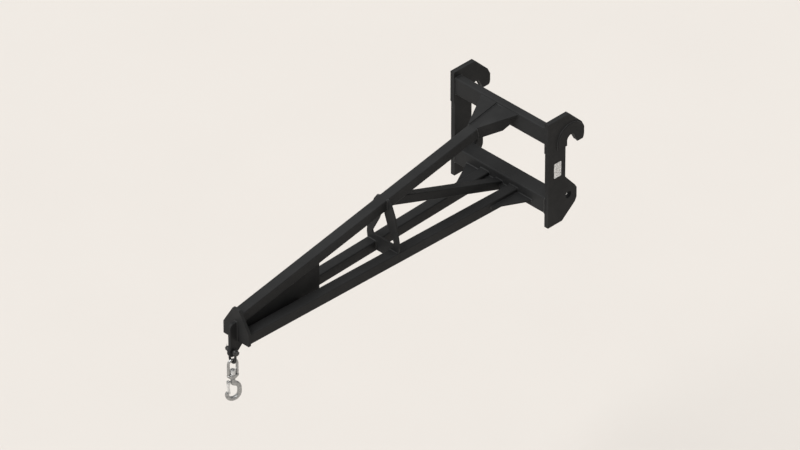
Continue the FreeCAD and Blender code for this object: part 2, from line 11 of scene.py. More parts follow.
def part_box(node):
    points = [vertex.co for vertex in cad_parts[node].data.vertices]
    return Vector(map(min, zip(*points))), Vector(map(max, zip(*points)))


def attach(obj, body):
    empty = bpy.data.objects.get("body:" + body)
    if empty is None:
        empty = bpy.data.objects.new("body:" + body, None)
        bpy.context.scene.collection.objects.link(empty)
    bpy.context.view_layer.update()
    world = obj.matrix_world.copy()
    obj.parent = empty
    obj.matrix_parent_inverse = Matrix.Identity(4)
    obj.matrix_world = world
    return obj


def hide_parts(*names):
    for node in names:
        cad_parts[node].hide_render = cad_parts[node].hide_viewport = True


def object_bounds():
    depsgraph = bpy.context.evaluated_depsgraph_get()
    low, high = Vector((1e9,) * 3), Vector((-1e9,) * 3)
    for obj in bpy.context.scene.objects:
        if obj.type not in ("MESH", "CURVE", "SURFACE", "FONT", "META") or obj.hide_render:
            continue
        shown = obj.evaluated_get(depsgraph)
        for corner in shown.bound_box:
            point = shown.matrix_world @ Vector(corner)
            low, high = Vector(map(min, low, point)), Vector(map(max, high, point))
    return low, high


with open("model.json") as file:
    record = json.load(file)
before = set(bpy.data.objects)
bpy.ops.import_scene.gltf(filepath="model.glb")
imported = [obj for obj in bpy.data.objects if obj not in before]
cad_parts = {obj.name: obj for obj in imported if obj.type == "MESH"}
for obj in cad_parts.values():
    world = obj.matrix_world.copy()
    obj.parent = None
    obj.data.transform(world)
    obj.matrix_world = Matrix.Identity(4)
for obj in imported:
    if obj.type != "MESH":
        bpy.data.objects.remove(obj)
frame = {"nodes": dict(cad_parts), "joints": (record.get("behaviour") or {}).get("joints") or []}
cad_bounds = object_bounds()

NODES = frame["nodes"]
JOINTS = {j["name"]: j for j in frame["joints"]}

# Sizes of the hanging parts, in metres
BOW_AXIS_Z = -0.632             # middle of the shackle's crown
RING_BASE_TOP_Z = -0.720        # top of the swivel eye's base
BOWL_Z = -0.860                 # centre of the hook's bowl
HOOK_HALF = 0.013               # half the hook's thickness
HOOK_TURN = math.radians(-20)   # the hook's plane about the load line
LATCH_PIN_ACROSS = 0.027
LATCH_PIN_UP = 0.084
SHACKLE_HALF = 0.024            # rod centre to centre plane
SHACKLE_ROD = 0.008
RING_GAUGE = 0.029
RING_ROD = 0.009
SWIVEL_GAP = 0.0003
WASHER_HEIGHT = 0.0028
SKIN = 0.00005                  # how far a rod's skin stays inside its true radius


# ---- node-graph helpers --------------------------------------------------------
class Graph:
    """A small helper that builds one material's node tree."""

    def __init__(self, name):
        self.material = bpy.data.materials.new(name)
        self.material.use_nodes = True
        self.tree = self.material.node_tree
        self.shader = self.tree.nodes["Principled BSDF"]
        self.coords = self.node("ShaderNodeTexCoord").outputs["Object"]

    def node(self, kind, **settings):
        made = self.tree.nodes.new(kind)
        for key, value in settings.items():
            setattr(made, key, value)
        return made

    def link(self, source, target):
        self.tree.links.new(source, target)

    def noise(self, scale, detail=4.0, rough=0.55, coords=None):
        made = self.node("ShaderNodeTexNoise")
        self.link(coords or self.coords, made.inputs["Vector"])
        made.inputs["Scale"].default_value = scale
        made.inputs["Detail"].default_value = detail
        made.inputs["Roughness"].default_value = rough
        return made.outputs["Fac"]

    def cells(self, scale):
        made = self.node("ShaderNodeTexVoronoi")
        self.link(self.coords, made.inputs["Vector"])
        made.inputs["Scale"].default_value = scale
        return made

    def stretched(self, scale):
        made = self.node("ShaderNodeMapping")
        self.link(self.coords, made.inputs["Vector"])
        made.inputs["Scale"].default_value = scale
        return made.outputs["Vector"]

    def ramp(self, value, stops):
        made = self.node("ShaderNodeValToRGB")
        self.link(value, made.inputs["Fac"])
        elements = made.color_ramp.elements
        while len(elements) < len(stops):
            elements.new(0.5)
        for element, (place, colour) in zip(elements, stops):
            element.position = place
            element.color = (*colour, 1.0)
        return made.outputs["Color"]

    def grey(self, value, low, high):
        """value from 0..1 mapped to low..high."""
        made = self.node("ShaderNodeMapRange")
        self.link(value, made.inputs["Value"])
        made.inputs["To Min"].default_value = low
        made.inputs["To Max"].default_value = high
        return made.outputs["Result"]

    def mix(self, share, first, second):
        made = self.node("ShaderNodeMix", data_type="RGBA")
        self.link(share, made.inputs["Factor"])
        for socket, colour in ((made.inputs["A"], first), (made.inputs["B"], second)):
            if isinstance(colour, tuple):
                socket.default_value = (*colour, 1.0)
            else:
                self.link(colour, socket)
        return made.outputs["Result"]

    def maths(self, operation, first, second):
        made = self.node("ShaderNodeMath", operation=operation)
        for socket, value in zip(made.inputs, (first, second)):
            if isinstance(value, (int, float)):
                socket.default_value = value
            else:
                self.link(value, socket)
        return made.outputs["Value"]

    def edges(self, low, high):
        """1 on worn outer edges, 0 on flats and in corners."""
        geometry = self.node("ShaderNodeNewGeometry")
        made = self.node("ShaderNodeMapRange", clamp=True)
        self.link(geometry.outputs["Pointiness"], made.inputs["Value"])
        made.inputs["From Min"].default_value = low
        made.inputs["From Max"].default_value = high
        return made.outputs["Result"]

    def bump(self, heights):
        """Stacks (height, distance, strength) layers of relief."""
        normal = None
        for height, distance, strength in heights:
            made = self.node("ShaderNodeBump")
            self.link(height, made.inputs["Height"])
            made.inputs["Distance"].default_value = distance
            made.inputs["Strength"].default_value = strength
            if normal:
                self.link(normal, made.inputs["Normal"])
            normal = made.outputs["Normal"]
        self.link(normal, self.shader.inputs["Normal"])

    def finish(self, colour, roughness, metallic, heights, specular=0.5):
        self.link(colour, self.shader.inputs["Base Color"])
        self.link(roughness, self.shader.inputs["Roughness"])
        self.shader.inputs["Metallic"].default_value = metallic
        self.shader.inputs["Specular IOR Level"].default_value = specular
        self.bump(heights)
        return self.material


# ---- materials -----------------------------------------------------------------
def frame_paint():
    """Charcoal powder coat: orange peel, faint mottling, dust and light scuffs."""
    g = Graph("frame_paint")
    mottle = g.noise(3.5, 5, 0.6)
    fine = g.noise(60, 3)
    base = g.ramp(mottle, [(0.3, (0.017, 0.0173, 0.0176)), (0.7, (0.023, 0.0233, 0.0236))])
    scratch_coords = g.stretched((9, 9, 140))
    streaks = g.noise(1.6, 6, 0.7, scratch_coords)
    scuff = g.ramp(streaks, [(0.66, (0, 0, 0)), (0.76, (1, 1, 1))])
    colour = g.mix(g.maths("MULTIPLY", scuff, 0.18), base, (0.055, 0.056, 0.057))
    dust = g.ramp(g.noise(11, 6, 0.7), [(0.55, (0, 0, 0)), (0.85, (1, 1, 1))])
    colour = g.mix(g.maths("MULTIPLY", dust, 0.16), colour, (0.060, 0.058, 0.055))
    rough = g.grey(fine, 0.42, 0.58)
    peel = g.noise(420, 2, 0.5)
    return g.finish(colour, rough, 0.0, [(peel, 0.0005, 0.4), (mottle, 0.002, 0.1)], specular=0.08)


def plate_paint():
    """The same coat over flame-cut plate: coarser relief."""
    g = Graph("plate_paint")
    mottle = g.noise(5, 5, 0.6)
    base = g.ramp(mottle, [(0.3, (0.016, 0.0163, 0.0166)), (0.7, (0.023, 0.0233, 0.0236))])
    dust = g.ramp(g.noise(9, 6, 0.7), [(0.5, (0, 0, 0)), (0.85, (1, 1, 1))])
    colour = g.mix(g.maths("MULTIPLY", dust, 0.16), base, (0.058, 0.057, 0.054))
    rough = g.grey(g.noise(45, 3), 0.40, 0.60)
    scale = g.noise(150, 3, 0.6)
    return g.finish(colour, rough, 0.0, [(scale, 0.0008, 0.25), (mottle, 0.003, 0.1)], specular=0.08)


def weld_paint():
    """Painted weld metal: slightly glossier where paint pools over the ripples."""
    g = Graph("weld_paint")
    mottle = g.noise(40, 4, 0.6)
    colour = g.ramp(mottle, [(0.3, (0.017, 0.0175, 0.018)), (0.7, (0.030, 0.0305, 0.031))])
    rough = g.grey(g.noise(90, 3), 0.32, 0.5)
    return g.finish(colour, rough, 0.0, [(g.noise(600, 2), 0.0003, 0.4)], specular=0.3)


def forged_black():
    """Black enamel over a forging, rubbed at the wear points."""
    g = Graph("forged_black")
    mottle = g.noise(55, 4, 0.6)
    base = g.ramp(mottle, [(0.3, (0.009, 0.009, 0.0095)), (0.7, (0.017, 0.017, 0.0175))])
    worn = g.maths("MULTIPLY", g.edges(0.52, 0.60), g.noise(180, 4))
    colour = g.mix(worn, base, (0.16, 0.155, 0.15))
    rough = g.grey(g.noise(120, 3), 0.28, 0.5)
    return g.finish(colour, rough, 0.15, [(g.noise(300, 3), 0.0005, 0.35)], specular=0.35)


def galvanised():
    """Hot-dip zinc on a forging: soft spangle, dull grey patches and runs."""
    g = Graph("galvanised")
    spangle = g.cells(220)
    patch = g.noise(45, 5, 0.65)
    tone = g.ramp(patch, [(0.25, (0.17, 0.173, 0.176)), (0.75, (0.42, 0.42, 0.415))])
    flakes = g.ramp(spangle.outputs["Distance"], [(0.0, (0.30, 0.303, 0.306)), (0.8, (0.54, 0.54, 0.53))])
    colour = g.mix(g.maths("MULTIPLY", patch, 0.8), tone, flakes)
    rough = g.grey(g.noise(140, 4), 0.20, 0.36)
    heights = [(g.noise(70, 4, 0.6), 0.0012, 0.3), (spangle.outputs["Distance"], 0.0003, 0.15)]
    return g.finish(colour, rough, 0.95, heights)


def zinc_plate():
    """Bright zinc plating on turned and pressed steel."""
    g = Graph("zinc_plate")
    lines = g.noise(12, 3, 0.5, g.stretched((30, 30, 900)))
    patch = g.noise(90, 4)
    colour = g.ramp(patch, [(0.3, (0.52, 0.53, 0.54)), (0.7, (0.70, 0.70, 0.69))])
    rough = g.grey(lines, 0.22, 0.42)
    return g.finish(colour, rough, 0.85, [(lines, 0.0002, 0.3)])


def pressed_sheet():
    """Zinc-plated sheet of the latch, lighter and smoother than the forging."""
    g = Graph("pressed_sheet")
    patch = g.noise(60, 4)
    colour = g.ramp(patch, [(0.3, (0.60, 0.605, 0.61)), (0.7, (0.76, 0.76, 0.75))])
    rough = g.grey(g.noise(160, 3), 0.28, 0.44)
    return g.finish(colour, rough, 0.7, [(g.noise(240, 3), 0.0003, 0.3)])


def plate_metal():
    """Brushed aluminium of the blank rating plate."""
    g = Graph("plate_metal")
    brush = g.noise(6, 4, 0.6, g.stretched((12, 12, 1400)))
    worn = g.noise(150, 6, 0.8)
    colour = g.ramp(worn, [(0.42, (0.10, 0.10, 0.10)), (0.50, (0.86, 0.86, 0.85))])
    rough = g.grey(brush, 0.3, 0.5)
    return g.finish(colour, rough, 0.3, [(brush, 0.0002, 0.3), (worn, 0.0003, 0.4)])


def floor_paper():
    """Pale studio paper with the faintest grain."""
    g = Graph("floor_paper")
    colour = g.ramp(g.noise(0.8, 3), [(0.3, (0.610, 0.580, 0.547)), (0.7, (0.618, 0.588, 0.555))])
    return g.finish(colour, g.grey(g.noise(5), 0.85, 0.95), 0.0, [(g.noise(200), 0.0002, 0.05)])


MATERIALS = {}


def material(maker):
    """Each material is made once and shared."""
    if maker.__name__ not in MATERIALS:
        MATERIALS[maker.__name__] = maker()
    return MATERIALS[maker.__name__]


PLATE_NODES = (
    "hook_head_left", "hook_head_right", "hook_doubler_left", "hook_doubler_right",
    "ear_plate_left", "ear_plate_right", "upper_gusset_left", "upper_gusset_right",
    "lower_gusset_left", "lower_gusset_right", "inner_gusset_left", "inner_gusset_right",
    "mid_diaphragm", "nose_web", "nose_tie_plate", "nose_plate", "hanger_lug",
)
TUBE_NODES = (
    "upper_cross_tube", "lower_cross_tube", "upper_chord", "lower_chord_left",
    "lower_chord_right", "diagonal_brace",
)


def dress_nodes():
    """Assigns a finished material to every CAD node."""
    finishes = {frame_paint: TUBE_NODES, plate_paint: PLATE_NODES}
    finishes[forged_black] = ("shackle", "hanger_bolt", "hanger_nut")
    finishes[galvanised] = ("swivel_eye", "hook")
    finishes[zinc_plate] = ("shank_nut", "thrust_washer", "split_pin", "nut_pin", "latch_pin",
                            "latch_spring", "data_plate_rivets")
    finishes[pressed_sheet] = ("latch",)
    finishes[plate_metal] = ("data_plate",)
    for maker, names in finishes.items():
        for name in names:
            node = NODES[name]
            node.data.materials.clear()
            node.data.materials.append(material(maker))


# ---- mesh helpers --------------------------------------------------------------
def make_piece(name, verts, faces, maker, body):
    """A finished mesh piece that rides on a body of the frame."""
    mesh = bpy.data.meshes.new(name)
    mesh.from_pydata([tuple(v) for v in verts], [], faces)
    mesh.validate()
    build = bmesh.new()
    build.from_mesh(mesh)
    bmesh.ops.remove_doubles(build, verts=build.verts, dist=1e-6)
    bmesh.ops.recalc_face_normals(build, faces=build.faces)
    build.to_mesh(mesh)
    build.free()
    for face in mesh.polygons:
        face.use_smooth = True
    mesh.set_sharp_from_angle(angle=math.radians(38))
    mesh.materials.append(material(maker))
    piece = bpy.data.objects.new(name, mesh)
    bpy.context.collection.objects.link(piece)
    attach(piece, body)
    return piece


class Shape:
    """Vertices and faces gathered from several closed parts."""

    def __init__(self):
        self.verts = []
        self.faces = []

    def rings(self, rings, closed_path=False):
        """Joins equal rings of points into a skin, capped at both ends."""
        start = len(self.verts)
        count = len(rings[0])
        for ring in rings:
            self.verts.extend(ring)
        spans = len(rings) if closed_path else len(rings) - 1
        for i in range(spans):
            a = start + i * count
            b = start + ((i + 1) % len(rings)) * count
            for k in range(count):
                n = (k + 1) % count
                self.faces.append((a + k, a + n, b + n, b + k))
        if not closed_path:
            self.faces.append(tuple(reversed(range(start, start + count))))
            last = start + (len(rings) - 1) * count
            self.faces.append(tuple(range(last, last + count)))

    def turned(self, centre, axis, profile, count=32):
        """A solid of revolution from (radius, distance along the axis) points, closed on itself."""
        axis = Vector(axis).normalized()
        side = axis.orthogonal().normalized()
        other = axis.cross(side)
        rings = []
        for step in range(count):
            angle = 2 * math.pi * step / count
            out = side * math.cos(angle) + other * math.sin(angle)
            rings.append([Vector(centre) + axis * h + out * r for r, h in profile])
        self.rings(rings, closed_path=True)

    def sweep(self, path, radii, count, up=None):
        """A round rod along a path; up fixes which way its seam faces."""
        rings = []
        last = len(path) - 1
        lift = None
        for i, point in enumerate(path):
            ahead = path[min(i + 1, last)] - path[max(i - 1, 0)]
            ahead.normalize()
            if up:
                facing = Vector(up)
            else:
                facing = lift or ahead.orthogonal().normalized()
            side = ahead.cross(facing).normalized()
            lift = side.cross(ahead).normalized()
            radius = radii[i] if isinstance(radii, list) else radii
            ring = []
            for k in range(count):
                angle = 2 * math.pi * k / count
                ring.append(point + side * radius * math.cos(angle)
                            + lift * radius * math.sin(angle))
            rings.append(ring)
        self.rings(rings)


def arc_points(centre, first, second, radius, start, end, steps):
    """Points of an arc in the plane of two unit vectors, angles in degrees."""
    points = []
    for i in range(steps + 1):
        angle = math.radians(start + (end - start) * i / steps)
        points.append(centre + first * radius * math.cos(angle) + second * radius * math.sin(angle))
    return points


# ---- weld beads ----------------------------------------------------------------
WELD_STEP = 0.003
WELD_PAIRS = (
    ("upper_cross_tube", "hook_head_left"), ("upper_cross_tube", "hook_head_right"),
    ("lower_cross_tube", "ear_plate_left"), ("lower_cross_tube", "ear_plate_right"),
    ("hook_doubler_left", "hook_head_left"), ("hook_doubler_right", "hook_head_right"),
    ("upper_chord", "upper_cross_tube"), ("lower_chord_left", "lower_cross_tube"),
    ("lower_chord_right", "lower_cross_tube"), ("diagonal_brace", "upper_chord"),
    ("diagonal_brace", "lower_cross_tube"), ("upper_gusset_left", "upper_cross_tube"),
    ("upper_gusset_right", "upper_cross_tube"), ("upper_gusset_left", "upper_chord"),
    ("upper_gusset_right", "upper_chord"), ("lower_gusset_left", "lower_cross_tube"),
    ("lower_gusset_right", "lower_cross_tube"), ("lower_gusset_left", "lower_chord_left"),
    ("lower_gusset_right", "lower_chord_right"), ("inner_gusset_left", "lower_cross_tube"),
    ("inner_gusset_right", "lower_cross_tube"), ("inner_gusset_left", "lower_chord_left"),
    ("inner_gusset_right", "lower_chord_right"), ("inner_gusset_left", "diagonal_brace"),
    ("inner_gusset_right", "diagonal_brace"), ("mid_diaphragm", "upper_chord"),
    ("mid_diaphragm", "lower_chord_left"), ("mid_diaphragm", "lower_chord_right"),
    ("nose_web", "upper_chord"), ("nose_web", "lower_chord_left"), ("nose_web", "nose_plate"),
    ("nose_web", "nose_tie_plate"), ("nose_tie_plate", "lower_chord_left"),
    ("nose_tie_plate", "lower_chord_right"), ("nose_tie_plate", "nose_plate"),
    ("upper_chord", "nose_plate"), ("lower_chord_left", "nose_plate"),
    ("lower_chord_right", "nose_plate"), ("hanger_lug", "nose_plate"),
)


def surface_tree(node):
    """The nearest-point tree of a CAD node's surface."""
    mesh = node.data
    points = [v.co.copy() for v in mesh.vertices]
    return BVHTree.FromPolygons(points, [tuple(p.vertices) for p in mesh.polygons])


def sharp_edges(node):
    """Ends of the node's edges where two of its faces meet at an angle."""
    build = bmesh.new()
    build.from_mesh(node.data)
    bmesh.ops.remove_doubles(build, verts=build.verts, dist=2e-6)
    found = []
    for edge in build.edges:
        if len(edge.link_faces) != 2 or edge.calc_face_angle(0) > math.radians(35):
            found.append((edge.verts[0].co.copy(), edge.verts[1].co.copy()))
    build.free()
    return found


def seam_runs(edges, tree):
    """Polylines along the edges wherever they lie on the other node's surface."""
    links = {}
    places = {}

    def key(point):
        return tuple(round(c / 0.0008) for c in point)

    for start, end in edges:
        length = (end - start).length
        steps = max(1, round(length / WELD_STEP))
        before = None
        for i in range(steps + 1):
            point = start.lerp(end, i / steps)
            near = tree.find_nearest(point, 0.0012)
            here = key(point) if near[0] is not None else None
            if here:
                places.setdefault(here, point)
                if before and before != here:
                    links.setdefault(before, set()).add(here)
                    links.setdefault(here, set()).add(before)
            before = here
    runs = []
    used = set()
    ends_first = sorted(links, key=lambda k: (len(links[k]) == 2, k))
    for start in ends_first:
        if start in used:
            continue
        run = [start]
        used.add(start)
        while True:
            after = sorted(n for n in links[run[-1]] if n not in used)
            if not after:
                break
            run.append(after[0])
            used.add(after[0])
        if len(run) * WELD_STEP > 0.012:
            runs.append([places[k] for k in run])
    return runs


def weld_beads():
    """Rippled fillet beads along every joint of the weldment."""
    trees = {}
    edges = {}
    for pair in WELD_PAIRS:
        for name in pair:
            if name not in trees:
                trees[name] = surface_tree(NODES[name])
                edges[name] = sharp_edges(NODES[name])
    low, high = cad_bounds
    for first, second in WELD_PAIRS:
        shape = Shape()
        for seams, other in ((first, second), (second, first)):
            for run in seam_runs(edges[seams], trees[other]):
                rand = random.Random(len(run))
                radii = []
                for i in range(len(run)):
                    ripple = 0.00045 * math.sin(2.2 * i + 0.6 * math.sin(0.31 * i))
                    taper = min(1.0, 0.55 + 0.25 * min(i, len(run) - 1 - i))
                    radii.append(taper * (0.0042 + ripple + 0.0002 * rand.random()))
                shape.sweep(run, radii, count=8)
        if not shape.verts:
            continue
        margin = 0.0002
        for vert in shape.verts:
            for k in range(3):
                vert[k] = min(max(vert[k], low[k] + margin), high[k] - margin)
        make_piece("weld_%s.%s" % (first, second), shape.verts, shape.faces, weld_paint, "frame")


# ---- hanger fittings -----------------------------------------------------------
def hexagon_profile_rings(centre, axis, flats, start, end, bevel):
    """Rings of a hexagon whose corners are turned down at its outer face."""
    axis = Vector(axis)
    side = Vector((1, 0, 0))
    other = axis.cross(side)
    rings = []
    total = 96
    rise = end - start
    for along, ease in ((0.0, 0.0), (0.55, 0.0), (0.75, 0.25), (0.9, 0.6), (1.0, 1.0)):
        ring = []
        for k in range(total):
            angle = 2 * math.pi * k / total
            folded = (angle + math.pi / 6) % (math.pi / 3) - math.pi / 6
            folded = math.pi / 6 - abs(folded)
            hexed = flats / 2 / math.cos(folded)
            limit = flats / 2 / math.cos(math.pi / 6) - bevel * (0.15 + ease)
            radius = min(hexed, limit)
            point = centre + axis * (start + rise * along)
            ring.append(point + side * radius * math.cos(angle) + other * radius * math.sin(angle))
        rings.append(ring)
    return rings


def add_bolt(swing):
    """Hexagon bolt with a raised washer face and a rolled thread."""
    axis = Vector((0, 1, 0))
    shape = Shape()
    shape.rings(hexagon_profile_rings(swing, axis, 0.0298, 0.0325, 0.0444, 0.0022))
    shape.turned(swing, axis, [(0.0, 0.0318), (0.0138, 0.0318), (0.0142, 0.0330), (0.0, 0.0330)], 48)
    profile = [(0.0, 0.0322), (0.0099, 0.0322)]
    place = -0.0470
    while place > -0.0535:
        profile.append((0.0099, place))
        profile.append((0.0088, place - 0.0008))
        place -= 0.0016
    profile += [(0.0085, -0.0549), (0.0, -0.0549)]
    shape.turned(swing, axis, profile, 40)
    piece = make_piece("hanger_bolt_forged", shape.verts, shape.faces, forged_black, "shackle")
    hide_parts("hanger_bolt")


def add_nut(swing):
    """Nut on the bolt's right end, chamfered, over a plain washer face."""
    shape = Shape()
    shape.rings(hexagon_profile_rings(swing, Vector((0, -1, 0)), 0.0298, 0.0325, 0.0479, 0.0022))
    face = [(0.0101, 0.0320), (0.0140, 0.0320), (0.0144, 0.0330), (0.0101, 0.0330)]
    shape.turned(swing, (0, -1, 0), face, 48)
    piece = make_piece("hanger_nut_turned", shape.verts, shape.faces, forged_black, "shackle")
    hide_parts("hanger_nut")


def add_split_pin(swing):
    """Split pin: two half-round legs, one bent back, with an eye on top."""
    centre = swing + Vector((0, -0.0514, 0))
    shape = Shape()
    for side in (-1, 1):
        offset = Vector((0.0009 * side, 0, 0))
        loop = arc_points(centre + Vector((0, 0, 0.0200)), Vector((0, 0, -1)), Vector((side, 0, 0)),
                          0.0042, 8, 176, 12)
        legs = [centre + offset + Vector((0, 0, z)) for z in (0.0145, 0.010, 0, -0.010, -0.0135)]
        bend = [centre + offset + Vector((0.0016 * side * k, 0, -0.0135 - 0.0012 * k)) for k in (1, 2)]
        path = list(reversed(loop)) + legs + bend
        shape.sweep(path, 0.00085, count=8, up=(0, 1, 0))
    piece = make_piece("split_pin_wire", shape.verts, shape.faces, zinc_plate, "shackle")
    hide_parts("split_pin")


def add_shackle(swing):
    """Forged bow: tapered round rod swelling into two rounded eyes."""
    shape = Shape()
    x_dir, y_dir, z_dir = Vector((1, 0, 0)), Vector((0, 1, 0)), Vector((0, 0, 1))
    half, rod = SHACKLE_HALF, SHACKLE_ROD
    crown = swing - z_dir * 0.083 + z_dir * half
    left = [swing + y_dir * half - z_dir * (0.014 + k * 0.009) for k in range(5)]
    bow = arc_points(crown, y_dir, -z_dir, half, 0, 180, 28)
    right = [swing - y_dir * half - z_dir * (0.014 + k * 0.009) for k in reversed(range(5))]
    path = left + bow + right
    shape.sweep(path, rod - SKIN, count=24, up=(1, 0, 0))
    for side in (-1, 1):
        inner, outer = half - rod, half + rod
        eye = [
            (0.01005, inner + 0.0002), (0.0170, inner), (0.0186, inner + 0.0009), (0.0197, inner + 0.004),
            (0.02, half), (0.0197, outer - 0.004), (0.0186, outer - 0.0009), (0.0170, outer),
            (0.01005, outer - 0.0002),
        ]
        shape.turned(swing, (0, side, 0), eye, 48)
        neck = []
        for k in range(9):
            drop = 0.010 + 0.0018 * k
            neck.append(swing + y_dir * half * side - z_dir * drop)
        swell = [0.0079 + 0.0055 * (1 - k / 8) ** 1.6 for k in range(9)]
        rings = []
        for point, wide in zip(neck, swell):
            ring = []
            for j in range(24):
                angle = 2 * math.pi * j / 24
                ring.append(point + x_dir * wide * math.cos(angle) + y_dir * 0.0079 * math.sin(angle))
            rings.append(ring)
        shape.rings(rings)
    piece = make_piece("shackle_forged", shape.verts, shape.faces, forged_black, "shackle")
    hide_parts("shackle")


def hook_axes():
    """Directions across the hook, through it and up it."""
    across = Vector((math.cos(HOOK_TURN), math.sin(HOOK_TURN), 0))
    through = Vector((-math.sin(HOOK_TURN), math.cos(HOOK_TURN), 0))
    return across, through, Vector((0, 0, 1))


def add_swivel_eye(swing):
    """Forged ring over a bored, domed base."""
    across, through, up = hook_axes()
    line = Vector((swing.x, 0, 0))
    shape = Shape()
    gauge, rod = RING_GAUGE, RING_ROD
    top = line + up * (BOW_AXIS_Z + 0.0173)
    centre = top - up * gauge
    left = [centre + across * gauge - up * (0.008 * k) for k in reversed(range(1, 12))]
    bow = arc_points(centre, across, up, gauge, 0, 180, 32)
    right = [centre - across * gauge - up * (0.008 * k) for k in range(1, 12)]
    path = [p for p in left + bow + right if p.z > RING_BASE_TOP_Z - 0.010]
    shape.sweep(path, rod - SKIN, count=24, up=tuple(through))
    rings = []
    levels = (
        (-0.0005, 0.76, 0.72), (-0.0015, 0.90, 0.88), (-0.004, 0.975, 0.96), (-0.008, 1.0, 1.0),
        (-0.013, 0.98, 1.0), (-0.018, 0.86, 0.98), (-0.023, 0.72, 0.95), (-0.027, 0.60, 0.90),
        (-0.0292, 0.53, 0.82), (-0.0299, 0.49, 0.75),
    )
    for drop, wide, deep in levels:
        ring = []
        for k in range(48):
            angle = 2 * math.pi * k / 48
            c, s = math.cos(angle), math.sin(angle)
            x = 0.0395 * wide * math.copysign(abs(c) ** 0.8, c)
            y = 0.0168 * deep * math.copysign(abs(s) ** 0.75, s)
            ring.append(line + up * (RING_BASE_TOP_Z + drop) + across * x + through * y)
        rings.append(ring)
    shape.rings(rings)
    rim = [(0.0102, -0.0005), (0.0165, -0.0005), (0.0168, -0.0002), (0.0165, -0.0), (0.0104, -0.0)]
    shape.turned(line + up * RING_BASE_TOP_Z, up, rim, 40)
    piece = make_piece("swivel_eye_forged", shape.verts, shape.faces, galvanised, "swivel_eye")
    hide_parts("swivel_eye")


def add_hook(swing):
    """Forged hook: rounded trapezoid section, heavy in the bowl, drawn down to the tip."""
    across, through, up = hook_axes()
    origin = Vector((swing.x, 0, BOWL_Z))
    inner = [
        (14, 97), (14, 84), (13.6, 74), (11, 65.5), (5, 59.5), (-2, 56.8), (-9, 54.2), (-17, 49.8),
        (-23.5, 43.5), (-27.6, 36), (-29, 28), (-29, 14), (-29, 0), (-27.5, -9.5), (-23.5, -17),
        (-17, -23.5), (-9, -27.6), (0, -29), (9, -27.6), (16, -24.2), (22, -18.9), (26, -12.8),
        (28.4, -5.8), (29.6, 2), (31.3, 9.6), (34.4, 14.2), (37.6, 16.2),
    ]
    outer = [
        (-14, 103.5), (-14.6, 99), (-16.2, 93), (-19.8, 87), (-25.5, 81.6), (-32, 76.6),
        (-38.6, 71.2), (-44.8, 64.6), (-49.8, 56.8), (-53.6, 47.5), (-56, 37.5), (-57, 20), (-57, 1),
        (-55.4, -14), (-49.4, -28.5), (-40, -40.6), (-27, -50.2), (-12, -55.7), (5, -56.8),
        (19, -53.4), (31, -47), (40, -38.6), (47, -28), (51.4, -16.8), (53.2, -6), (52.4, 4.5),
        (47.5, 12.6),
    ]
    rings = []
    for (ix, iz), (ox, oz) in zip(inner, outer):
        middle = Vector(((ix + ox) / 2, (iz + oz) / 2))
        reach = Vector(((ox - ix) / 2, (oz - iz) / 2))
        size = reach.length
        share = min(1.0, 0.45 + size / 26)
        half = HOOK_HALF * share
        ring = []
        for k in range(28):
            angle = 2 * math.pi * k / 28
            c, s = math.cos(angle), math.sin(angle)
            out = math.copysign(abs(c) ** 0.72, c)
            wide = math.copysign(abs(s) ** 0.78, s) * (1.0 - 0.16 * out)
            spot = middle + reach * out
            place = origin + (across * spot.x + up * spot.y) / 1000
            ring.append(place + through * half * min(max(wide, -1.0), 1.0))
        rings.append(ring)
    shape = Shape()
    shape.rings(rings)
    top = RING_BASE_TOP_Z - 0.030 - 0.0003 - BOWL_Z
    collar = [
        (0.0, 0.094), (0.0125, 0.094), (0.0150, 0.0965), (0.0158, 0.0990), (0.0158, top - 0.0016),
        (0.0146, top), (0.0, top),
    ]
    shape.turned(origin, up, collar, 40)
    shank_top = 0.176
    profile = [(0.0, top - 0.001), (0.00998, top - 0.001), (0.00998, 0.1445)]
    rise = 0.1445
    while rise < shank_top - 0.003:
        profile.append((0.00998, rise))
        profile.append((0.0090, rise + 0.0009))
        rise += 0.0018
    profile += [(0.0086, shank_top - 0.0001), (0.0, shank_top - 0.0001)]
    shape.turned(origin, up, profile, 36)
    pin = origin + across * LATCH_PIN_ACROSS + up * LATCH_PIN_UP
    boss = [
        (0.0040, -0.0060), (0.0088, -0.0060), (0.0099, -0.0048), (0.0099, 0.0048), (0.0088, 0.0060),
        (0.0040, 0.0060),
    ]
    shape.turned(pin, through, boss, 36)
    arm = []
    for step in range(8):
        back = 0.0060 + 0.0190 * step / 7
        spread = 0.0062 + 0.0034 * (step / 7) ** 2
        deep = 0.0056 + 0.0012 * (step / 7)
        ring = []
        for k in range(20):
            angle = 2 * math.pi * k / 20
            c, s = math.cos(angle), math.sin(angle)
            high = math.copysign(abs(c) ** 0.7, c) * spread
            wide = math.copysign(abs(s) ** 0.7, s) * deep
            ring.append(pin - across * back + up * high + through * wide)
        arm.append(ring)
    shape.rings(arm)
    piece = make_piece("hook_forged", shape.verts, shape.faces, galvanised, "hook")
    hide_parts("hook")


